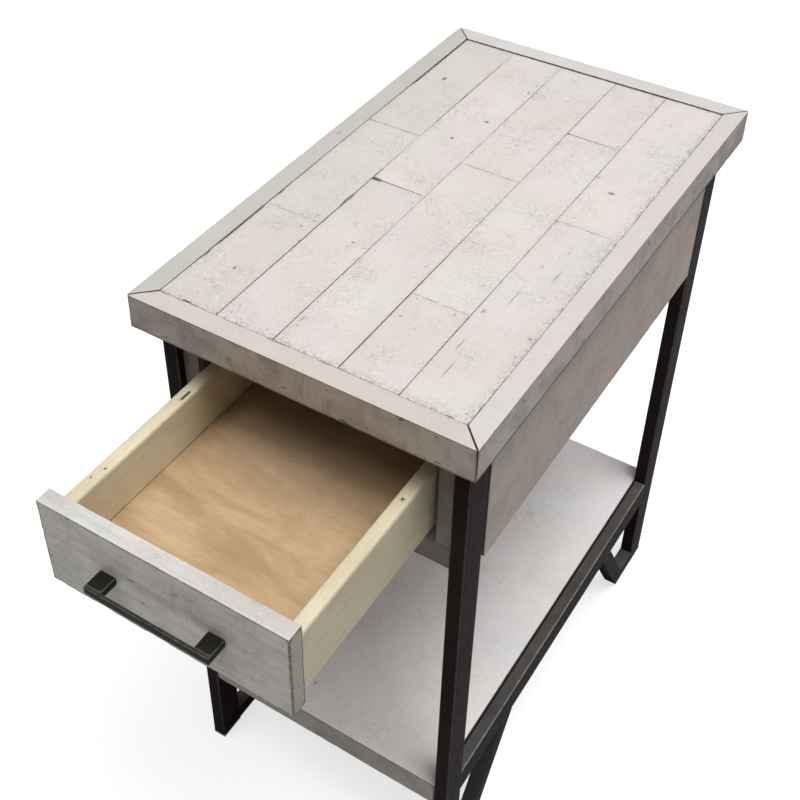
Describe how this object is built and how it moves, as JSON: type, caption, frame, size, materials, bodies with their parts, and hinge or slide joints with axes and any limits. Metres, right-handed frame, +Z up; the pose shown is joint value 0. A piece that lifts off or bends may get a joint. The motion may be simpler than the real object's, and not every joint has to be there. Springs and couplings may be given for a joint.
{
  "type": "side table",
  "caption": "Narrow side table: whitewashed plank top on black steel side frames with braced feet, a low shelf, and a case with a sliding drawer with a bar pull.",
  "frame": {"origin": "middle of the bounding box on the floor, with the drawer as drawn, pulled out 182.5 mm", "axes": "+Z up, +X to the right seen from the front, +Y from front to back"},
  "size_m": [0.305, 0.6904, 0.607],
  "materials": {
    "top_planks": "whitewashed, distressed, matt",
    "top_edge": "whitewashed, matt",
    "shelf_wood": "whitewashed, matt",
    "case_wood": "grey whitewash, matt",
    "drawer_front_wood": "grey wash, wire-brushed, matt",
    "drawer_box_wood": "pale sealed softwood",
    "drawer_bottom_ply": "plywood, satin",
    "inner_wood": "unfinished",
    "black_steel": "gunmetal black, satin",
    "handle_metal": "dark bronze black, satin",
    "zinc": "zinc plated",
    "nylon": "matt"
  },
  "bodies": {
    "table": {"top_core": "inner_wood", "edge_front": "top_edge", "edge_back": "top_edge", "edge_left": "top_edge", "edge_right": "top_edge", "plank_1_front": "top_planks", "plank_1_mid": "top_planks", "plank_1_back": "top_planks", "plank_2_front": "top_planks", "plank_2_back": "top_planks", "plank_3_front": "top_planks", "plank_3_back": "top_planks", "plank_4_front": "top_planks", "plank_4_mid": "top_planks", "plank_4_back": "top_planks", "plank_5_front": "top_planks", "plank_5_back": "top_planks", "leg_front_left": "black_steel", "leg_front_right": "black_steel", "leg_back_left": "black_steel", "leg_back_right": "black_steel", "side_rail_left": "black_steel", "side_rail_right": "black_steel", "foot_bar_front_left": "black_steel", "foot_bar_front_right": "black_steel", "foot_bar_back_left": "black_steel", "foot_bar_back_right": "black_steel", "foot_brace_front_left": "black_steel", "foot_brace_front_right": "black_steel", "foot_brace_back_left": "black_steel", "foot_brace_back_right": "black_steel", "floor_glides": "nylon", "shelf": "shelf_wood", "shelf_tabs": "black_steel", "shelf_screws": "zinc", "case_side_left": "case_wood", "case_side_right": "case_wood", "stile_left": "case_wood", "stile_right": "case_wood", "front_rail_bottom": "case_wood", "front_rail_top": "case_wood", "case_back": "case_wood", "runner_left": "inner_wood", "runner_right": "inner_wood", "kicker_left": "inner_wood", "kicker_right": "inner_wood", "centre_guide": "inner_wood", "guide_stop": "inner_wood", "drawer_stops": "inner_wood", "top_screws": "zinc"},
    "drawer": {"drawer_front": "drawer_front_wood", "drawer_side_left": "drawer_box_wood", "drawer_side_right": "drawer_box_wood", "drawer_back": "drawer_box_wood", "drawer_bottom": "drawer_bottom_ply", "guide_saddle": "nylon", "handle_bar": "handle_metal", "handle_post_left": "handle_metal", "handle_post_right": "handle_metal", "handle_screws": "zinc"}
  },
  "joints": [
    {"name": "drawer_slide", "type": "slide", "parent": "table", "child": "drawer", "axis": [0, -1, 0], "range_m": [-0.1825, 0.1]}
  ]
}
